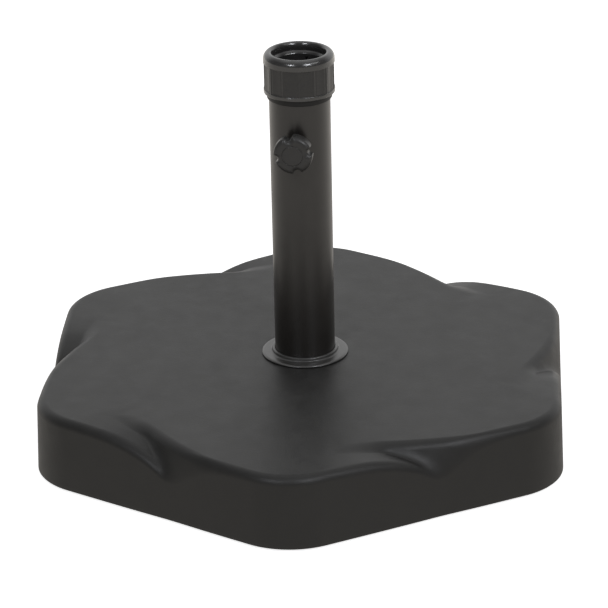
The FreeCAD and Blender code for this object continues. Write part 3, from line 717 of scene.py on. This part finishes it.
def cap_material(name):
    """The cap: gloss dome and foot, satin flats, polished corners."""
    m = Mat(name)
    base = (0.031, 0.0303, 0.0293)
    z = m.z_of(m.mm)
    gloss = m.calc("MAXIMUM", m.remap(z, span=(324.3, 325.3)), m.remap(z, span=(302.9, 302.3)))

    def off_gloss(mask):
        return m.times(mask, m.calc("SUBTRACT", 1.0, gloss))

    col = m.mottled(m.noise(size=2.2, detail=4.0, rough=0.65), base, dark=0.92, light=1.08)
    edge = m.worn_edges(pointiness=(0.52, 0.58), size=1.6, span=(0.3, 0.7), to=(0.3, 1.0))
    col = m.layer(col, shade(base, 1.9), edge, amount=0.35)
    scuff = off_gloss(m.remap(m.streaks(size=(9.0, 9.0, 0.35)), span=(0.66, 0.74)))
    col = m.layer(col, shade(base, 2.2), scuff, amount=0.14)
    r_flat = m.level(m.noise(size=4.0, detail=4.0, rough=0.6), to=(0.30, 0.40))
    r_dome = m.level(m.noise(size=6.0, detail=4.0, rough=0.6), to=(0.19, 0.26))
    blend = m.node("ShaderNodeMix", data_type="FLOAT")
    for index, value in ((0, gloss), (2, r_flat), (3, r_dome)):
        m.put(blend.inputs[index], value)
    r = m.calc("ADD", blend.outputs[0], m.times(scuff, 0.08))
    m.bump(off_gloss(m.noise(size=0.45, detail=3.0, rough=0.6)), strength=0.22, depth=0.04)
    m.bump(m.noise(size=9.0, detail=2.0, rough=0.4), strength=0.10, depth=0.12)
    line_pitch = 2.7
    lines = m.calc("SINE", m.times(z, 2 * math.pi / line_pitch))
    lines = m.times(lines, m.remap(m.noise(size=5.0, detail=2.0, rough=0.5),
                                   span=(0.35, 0.65), to=(0.2, 1.0)))
    m.bump(off_gloss(lines), strength=0.5, depth=0.06)
    m.bump(scuff, strength=0.10, depth=-0.02)
    return m.done(col, r, spec=m.remap(gloss, span=(0.0, 1.0), to=(0.6, 1.2)))


def powder_coat(name, base, rough, spec):
    """Powder-coated steel: orange peel, fine grain, rub marks."""
    m = Mat(name)
    peel = m.noise(size=1.5, detail=2.0, rough=0.45)
    fine = m.noise(size=0.28, detail=2.0, rough=0.6)
    col = m.mottled(m.noise(size=11.0, detail=4.0, rough=0.6), base, dark=0.94, light=1.06)
    around_pole = m.remap(m.streaks(size=(22.0, 22.0, 0.8)), span=(0.68, 0.76))
    along_pole = m.remap(m.streaks(size=(0.7, 0.7, 60.0)), span=(0.68, 0.76))
    marks = m.calc("MAXIMUM", around_pole, along_pole)
    col = m.layer(col, shade(base, 2.0), marks, amount=0.10)
    r = m.calc("ADD", m.level(m.noise(size=18.0, detail=4.0, rough=0.65),
                              to=(rough - 0.04, rough + 0.05)), m.times(marks, 0.07))
    m.bump(peel, strength=0.16, depth=0.10)
    m.bump(fine, strength=0.12, depth=0.02)
    return m.done(col, r, spec)


def zinc(name):
    """Zinc-plated steel: spangle, white rust, brushing."""
    m = Mat(name)
    spangle = m.node("ShaderNodeSeparateColor")
    m.put(spangle.inputs[0], m.voronoi(size=1.6, out="Color"))
    patches = m.noise(size=3.0, detail=5.0, rough=0.7)
    col = m.mix(m.remap(spangle.outputs[0], span=(0.0, 1.0)),
                (0.46, 0.47, 0.47), (0.60, 0.60, 0.58))
    rust = m.remap(m.noise(size=5.0, detail=6.0, rough=0.75), span=(0.6, 0.72))
    col = m.layer(col, (0.70, 0.70, 0.66), rust, amount=0.35)
    brush = m.streaks(size=(6.0, 0.25, 6.0))
    r = m.calc("ADD", m.level(patches, to=(0.26, 0.42)), m.times(rust, 0.25))
    metallic = m.remap(rust, span=(0.0, 1.0), to=(1.0, 0.6))
    m.bump(brush, strength=0.12, depth=0.03)
    m.bump(patches, strength=0.15, depth=0.05)
    return m.done(col, r, spec=0.5, metallic=metallic)


def rubber(name):
    """Dull rubber, dirty over its lowest 2 mm."""
    m = Mat(name)
    patches = m.noise(size=2.5, detail=5.0, rough=0.7)
    grit = m.remap(m.voronoi(size=1.3), span=(0.0, 0.16), to=(1.0, 0.0))
    col = m.mottled(patches, (0.018, 0.018, 0.018), dark=0.8, light=1.3)
    low = m.remap(m.z_of(m.mm), span=(0.0, 2.0), to=(1.0, 0.0))
    dirt = m.remap(m.noise(size=3.0, detail=5.0, rough=0.7), span=(0.4, 0.7), to=(0.0, 0.5))
    col = m.layer(col, (0.12, 0.115, 0.105), low, amount=dirt)
    m.bump(m.noise(size=0.35, detail=3.0, rough=0.6), strength=0.3, depth=0.05)
    m.bump(grit, strength=0.1, depth=0.03)
    return m.done(col, m.remap(patches, span=(0.25, 0.75), to=(0.66, 0.86))
                  if False else m.level(patches, to=(0.66, 0.86)), spec=0.35)


def concrete(name):
    """Cast concrete: patches, sand, dark stones, air holes."""
    m = Mat(name)
    sand = m.noise(size=0.8, detail=4.0, rough=0.7)
    patch = m.noise(size=24.0, detail=6.0, rough=0.65)
    col = m.mix(m.remap(patch, span=(0.3, 0.7)), (0.30, 0.29, 0.27), (0.46, 0.445, 0.42))
    col = m.mix(m.remap(sand, span=(0.3, 0.75), to=(0.0, 0.45)), col, (0.55, 0.54, 0.50))
    stones = m.remap(m.voronoi(size=5.5), span=(0.12, 0.22), to=(1.0, 0.0))
    shown = m.remap(m.noise(size=40.0, detail=3.0, rough=0.6), span=(0.45, 0.6), to=(0.0, 0.7))
    col = m.layer(col, (0.24, 0.235, 0.23), stones, amount=shown)
    holes = m.remap(m.voronoi(size=7.5, vector=m.stretched(turn=(0.4, 0.2, 0.7))),
                    span=(0.0, 0.10), to=(1.0, 0.0))
    col = m.layer(col, (0.12, 0.115, 0.11), holes, amount=0.8)
    m.bump(sand, strength=0.5, depth=0.25)
    m.bump(patch, strength=0.3, depth=0.8)
    m.bump(holes, strength=0.8, depth=-0.9)
    return m.done(col, m.level(sand, span=(0.2, 0.8), to=(0.80, 0.96)), spec=0.3)


M_SHELL = moulded_plastic("shell_plastic", (0.0194, 0.0190, 0.0181), rough=0.46, grain=1.0,
                          scratch=0.5, grain_size=0.9, dust=0.05, wear=0.25, peel=0.25)
M_RING = moulded_plastic("ring_plastic", (0.030, 0.0288, 0.0272), rough=0.34, grain=0.08,
                         scratch=0.2, rough_vary=0.03, spec=1.35)
M_KNOB = moulded_plastic("knob_plastic", (0.040, 0.039, 0.0378), rough=0.36, grain=0.30,
                         scratch=0.4, grain_size=0.45, mottle=0.06)
# Near black, darker than the collar's own plastic: painted shade for the shadowed gap between
# the cap and the tube.
M_COLLAR_PAINTED_SHADE = moulded_plastic("collar_plastic", (0.006, 0.006, 0.006), rough=0.50, grain=0.12,
                           scratch=0.3, wear=0.2)
M_COLLET = moulded_plastic("collet_plastic", (0.026, 0.0255, 0.025), rough=0.22, grain=0.08,
                           scratch=0.4, rough_vary=0.04, spec=1.1)
M_GUIDE = moulded_plastic("guide_plastic", (0.022, 0.022, 0.022), rough=0.42, grain=0.2,
                          scratch=0.5, wear=0.2)
M_COVER = moulded_plastic("cover_plastic", (0.030, 0.030, 0.030), rough=0.52, grain=0.5,
                          scratch=0.8, grain_size=1.1, rough_vary=0.06, spec=0.45,
                          mottle=0.12)
M_PAD = moulded_plastic("pad_plastic", (0.09, 0.09, 0.088), rough=0.45, grain=0.2,
                        scratch=0.8, grain_size=0.3, wear=0.4, mottle=0.08)
M_CAP = cap_material("cap_plastic")
M_TUBE = powder_coat("tube_paint", (0.0162, 0.0142, 0.0126), rough=0.32, spec=0.95)
M_ZINC = zinc("zinc_steel")
M_RUBBER = rubber("foot_rubber")
M_CONCRETE = concrete("concrete")

NODE_MATERIALS = {
    "base_shell": M_SHELL, "concrete_ballast": M_CONCRETE, "bottom_cover": M_COVER,
    "pole_tube": M_TUBE, "tube_end_plate": M_ZINC, "anchor_nut": M_ZINC,
    "anchor_bolt": M_ZINC, "anchor_spring_washer": M_ZINC, "anchor_plate_washer": M_ZINC,
    "lower_pole_guide": M_GUIDE, "threaded_collar": M_COLLAR_PAINTED_SHADE, "knob_nut": M_TUBE,
    "trim_ring": M_RING, "collet": M_COLLET, "cap_nut": M_CAP, "clamp_pad": M_PAD,
    "clamp_knob": M_KNOB, "knob_stud": M_ZINC, "knob_cap": M_KNOB,
    **{"rubber_foot_%d" % (i + 1): M_RUBBER for i in range(6)}}


def give(ob, mat):
    ob.data.materials.clear()
    ob.data.materials.append(mat)


for ob, mat in ((shell, M_SHELL), (ring, M_RING), (cap, M_CAP), (collar, M_COLLAR_PAINTED_SHADE),
                (knob, M_KNOB), (knob_disc, M_KNOB)):
    give(ob, mat)
for name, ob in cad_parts.items():
    give(ob, NODE_MATERIALS[name])


# ------------------------------------------------------------ floor
def floor_paper():
    """White paper to the camera; to all other rays an even, slightly warm
    glow that grows towards the back (+Y)."""
    mat = empty_material("floor_paper")
    tree = mat.node_tree
    new, link = tree.nodes.new, tree.links.new
    output = new("ShaderNodeOutputMaterial")
    rays = new("ShaderNodeLightPath")
    paper = new("ShaderNodeBsdfDiffuse")
    paper.inputs["Color"].default_value = (0.90, 0.90, 0.90, 1)
    glow = new("ShaderNodeEmission")
    glow.inputs["Color"].default_value = (1, 1, 1, 1)
    glow.inputs["Strength"].default_value = 0.80
    seen = new("ShaderNodeAddShader")
    unseen = new("ShaderNodeEmission")
    unseen.inputs["Color"].default_value = (1.0, 0.955, 0.89, 1)
    place = new("ShaderNodeNewGeometry")
    split = new("ShaderNodeSeparateXYZ")
    link(place.outputs["Position"], split.inputs[0])
    link(map_range(tree, split.outputs[1], span=(-0.3, 1.8), to=(0.53, 1.50)),
         unseen.inputs["Strength"])
    mix = new("ShaderNodeMixShader")
    link(paper.outputs[0], seen.inputs[0])
    link(glow.outputs[0], seen.inputs[1])
    link(rays.outputs["Is Camera Ray"], mix.inputs[0])
    link(unseen.outputs[0], mix.inputs[1])
    link(seen.outputs[0], mix.inputs[2])
    link(mix.outputs[0], output.inputs[0])
    return mat


half = 6.0
mesh = bpy.data.meshes.new("floor")
mesh.from_pydata([(-half, -half, 0), (half, -half, 0), (half, half, 0), (-half, half, 0)],
                 [], [(0, 1, 2, 3)])
floor = bpy.data.objects.new("floor", mesh)
scene.collection.objects.link(floor)
floor.data.materials.append(floor_paper())

# ------------------------------------------------------------ camera
place = Vector((0.17586, -2.394, 1.14313))
ahead = Vector((-0.067078, 0.915815, -0.395958)).normalized()
right = Vector((0.997723, 0.064346, -0.020197))
right = (right - ahead * right.dot(ahead)).normalized()
up = right.cross(ahead)
cam = bpy.data.cameras.new("camera")
cam.lens, cam.sensor_width = 182.95, 36.0
cam.clip_start, cam.clip_end = 0.1, 50.0
cam.shift_x = -0.00131579
camera = bpy.data.objects.new("camera", cam)
scene.collection.objects.link(camera)
camera.matrix_world = Matrix([(right[i], up[i], -ahead[i], place[i]) for i in range(3)]
                             + [(0, 0, 0, 1)])
scene.camera = camera


# ------------------------------------------------------------ lights
def area_light(name, place, target, size, watts, color=(1.0, 1.0, 1.0)):
    light = bpy.data.lights.new(name, "AREA")
    light.shape = "RECTANGLE"
    light.size, light.size_y = size
    light.energy = watts
    light.color = color
    ob = bpy.data.objects.new(name, light)
    scene.collection.objects.link(ob)
    ob.location = place
    aim = (Vector(target) - Vector(place)).normalized()
    ob.rotation_euler = aim.to_track_quat("-Z", "Y").to_euler()
    ob.visible_camera = False


def orbit_light(name, azimuth, elevation, distance, target_z, **settings):
    """An area light on a sphere about a point of the pole axis, aimed at it."""
    a, e = math.radians(azimuth), math.radians(elevation)
    target = (0, 0, target_z)
    place = Vector(target) + distance * Vector((math.cos(a) * math.cos(e),
                                                math.sin(a) * math.cos(e), math.sin(e)))
    area_light(name, place, target, **settings)


COOL = (0.93, 0.95, 1.0)
area_light("top", (0.0, 0.7, 2.6), (0, 0, 0), size=(2.0, 1.2), watts=3)
orbit_light("key_l", azimuth=-114, elevation=31, distance=2.5, target_z=0.3,
            size=(0.34, 0.24), watts=8.0, color=COOL)
orbit_light("key_r", azimuth=-56, elevation=34, distance=2.5, target_z=0.3,
            size=(0.46, 0.34), watts=13.5, color=COOL)
orbit_light("side", azimuth=-26, elevation=42, distance=2.6, target_z=0.1,
            size=(0.9, 0.6), watts=3.5)


# ------------------------------------------------------------ world
def studio_world():
    """Bright paper sweep behind, dark towards the camera, a soft ceiling."""
    world = bpy.data.worlds.new("studio")
    scene.world = world
    world.use_nodes = True
    tree = world.node_tree
    background = tree.nodes["Background"]
    coords = tree.nodes.new("ShaderNodeTexCoord")
    split = tree.nodes.new("ShaderNodeSeparateXYZ")
    tree.links.new(coords.outputs["Generated"], split.inputs[0])

    def combine(operation, a):
        node = tree.nodes.new("ShaderNodeMath")
        node.operation = operation
        tree.links.new(a, node.inputs[0])
        return node

    low = map_range(tree, split.outputs[2], span=(0.50, 0.85), to=(1.0, 0.0))
    depth = map_range(tree, split.outputs[1], span=(0.05, 0.80), to=(0.05, 0.85))
    ceiling = map_range(tree, split.outputs[2], span=(0.60, 0.95), to=(0.0, 0.40))
    sweep = combine("MULTIPLY", low)
    tree.links.new(depth, sweep.inputs[1])
    lifted = combine("ADD", sweep.outputs[0])
    lifted.inputs[1].default_value = 0.06        # light from every direction
    total = combine("ADD", lifted.outputs[0])
    tree.links.new(ceiling, total.inputs[1])
    tree.links.new(total.outputs[0], background.inputs[1])
    background.inputs[0].default_value = (1, 1, 1, 1)


studio_world()
scene.view_settings.view_transform = "Standard"
